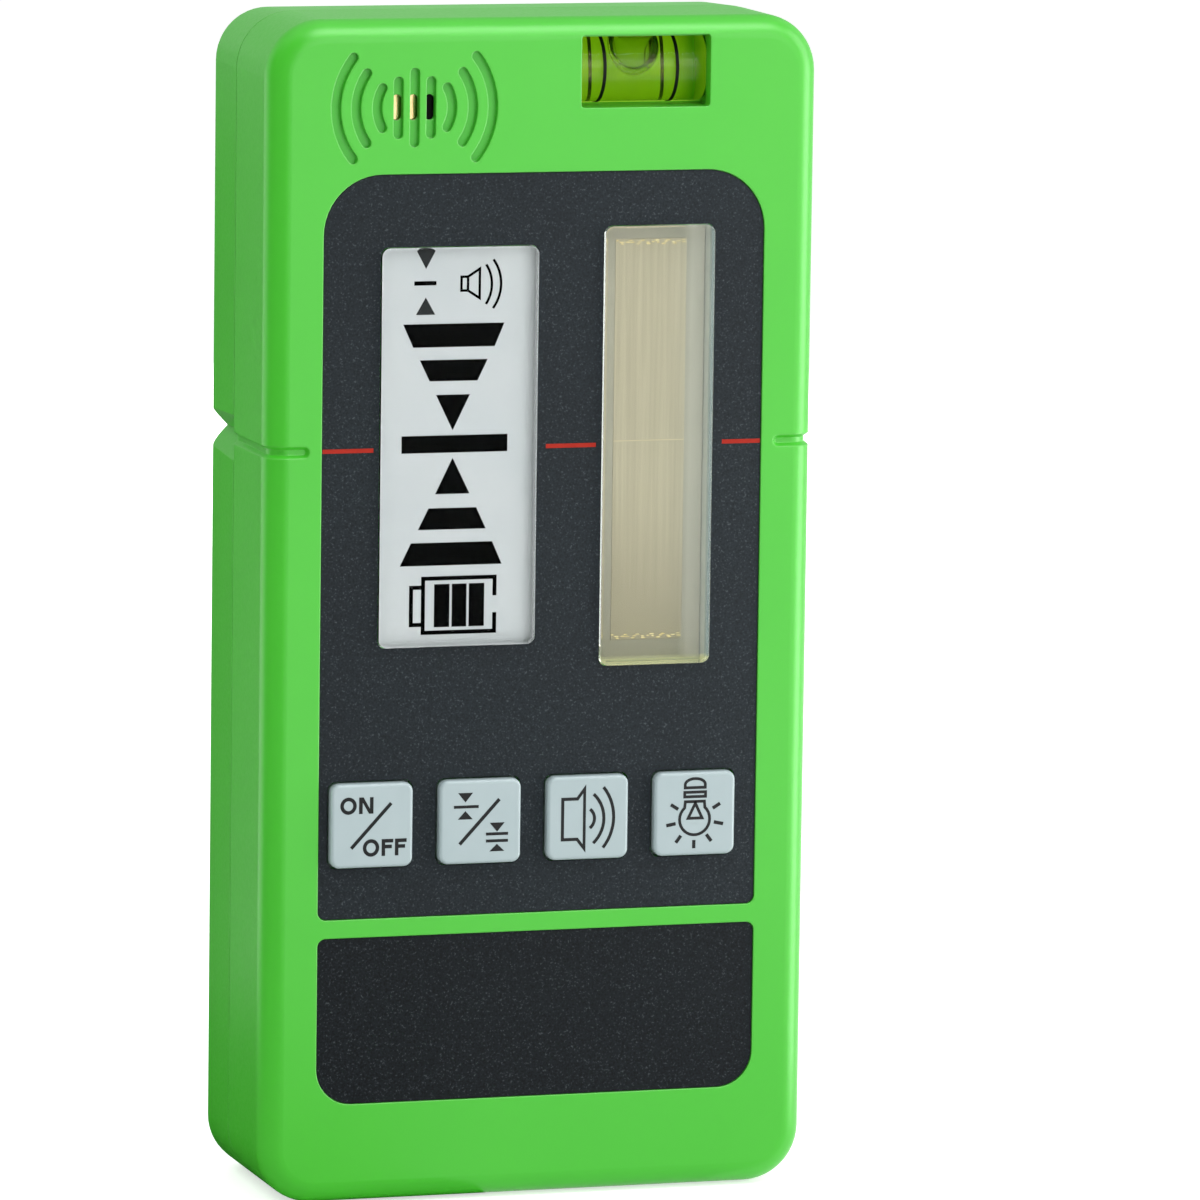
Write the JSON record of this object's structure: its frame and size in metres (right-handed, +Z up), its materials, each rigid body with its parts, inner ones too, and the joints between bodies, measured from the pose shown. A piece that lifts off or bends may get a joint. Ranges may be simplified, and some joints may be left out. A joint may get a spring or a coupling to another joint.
{
  "type": "laser receiver",
  "caption": "Hand-held laser receiver: a rounded moulded case with display, sensor window, spirit vial, sound slots, push keys and a hinged battery door at the back.",
  "frame": {"origin": "on the base, midway between the sides, in the middle of the case's depth", "axes": "+X to the right seen from the front, +Y from the front to the back, +Z up"},
  "size_m": [0.0804, 0.034, 0.1678],
  "materials": {
    "green_abs": "fine moulded satin",
    "slate_film": "fine-grained satin print film",
    "key_grey": "smooth satin",
    "clear_acrylic": "polished",
    "lcd_glass": "polished",
    "backlight_white": "diffusing",
    "frame_white": "moulded",
    "contact_rubber": "matte",
    "sensor_cream": "satin diffusing sheet",
    "sensor_white": "moulded",
    "photocell": "polished",
    "board_green": "solder resist",
    "chip_black": "moulded epoxy",
    "capacitor_can": "sleeved",
    "steel": "zinc plated",
    "brass": "turned",
    "switch_black": "moulded",
    "plunger_nylon": "moulded",
    "buzzer_black": "moulded",
    "vial_acrylic": "polished",
    "vial_fluid": "liquid",
    "ring_black": "printed",
    "pad_foam": "foam",
    "battery_jacket": "printed jacket",
    "lead_red": "satin",
    "lead_black": "satin"
  },
  "bodies": {
    "case": {"front_shell": "green_abs", "rear_shell": "green_abs", "case_screws": "steel", "clamp_insert": "brass", "panel_overlay": "slate_film", "lower_label": "slate_film", "display_window": "clear_acrylic", "sensor_window": "clear_acrylic", "lcd_glass": "lcd_glass", "lcd_backlight": "backlight_white", "lcd_frame": "frame_white", "zebra_strips": "contact_rubber", "sensor_housing": "sensor_white", "sensor_filter": "sensor_cream", "sensor_cells": "photocell", "sensor_board": "board_green", "main_board": "board_green", "board_screws": "steel", "controller_chip": "chip_black", "amplifier_chips": "chip_black", "filter_capacitors": "capacitor_can", "key_switches": "switch_black", "buzzer_case": "buzzer_black", "buzzer_disc": "brass", "buzzer_pins": "steel", "vial_tube": "vial_acrylic", "vial_fluid": "vial_fluid", "vial_rings": "ring_black", "vial_plugs": "frame_white", "vial_cradle": "green_abs", "battery": "battery_jacket", "battery_terminals": "steel", "battery_snap": "lead_black", "positive_lead": "lead_red", "negative_lead": "lead_black"},
    "power_key_body": {"power_key": "key_grey", "power_plunger": "plunger_nylon"},
    "precision_key_body": {"precision_key": "key_grey", "precision_plunger": "plunger_nylon"},
    "sound_key_body": {"sound_key": "key_grey", "sound_plunger": "plunger_nylon"},
    "light_key_body": {"light_key": "key_grey", "light_plunger": "plunger_nylon"},
    "door": {"battery_door": "green_abs", "door_pad": "pad_foam"}
  },
  "joints": [
    {"name": "power_key_press", "type": "slide", "parent": "case", "child": "power_key_body", "axis": [0, 1, 0], "range_m": [0, 0.0005], "stiffness_N_per_m": 300, "springref_m": -0.002},
    {"name": "precision_key_press", "type": "slide", "parent": "case", "child": "precision_key_body", "axis": [0, 1, 0], "range_m": [0, 0.0005], "stiffness_N_per_m": 300, "springref_m": -0.002},
    {"name": "sound_key_press", "type": "slide", "parent": "case", "child": "sound_key_body", "axis": [0, 1, 0], "range_m": [0, 0.0005], "stiffness_N_per_m": 300, "springref_m": -0.002},
    {"name": "light_key_press", "type": "slide", "parent": "case", "child": "light_key_body", "axis": [0, 1, 0], "range_m": [0, 0.0005], "stiffness_N_per_m": 300, "springref_m": -0.002},
    {"name": "battery_door_hinge", "type": "hinge", "parent": "case", "child": "door", "pos_m": [0, 0.0144, 0.0062], "axis": [-1, 0, 0], "range_deg": [0, 95]}
  ]
}
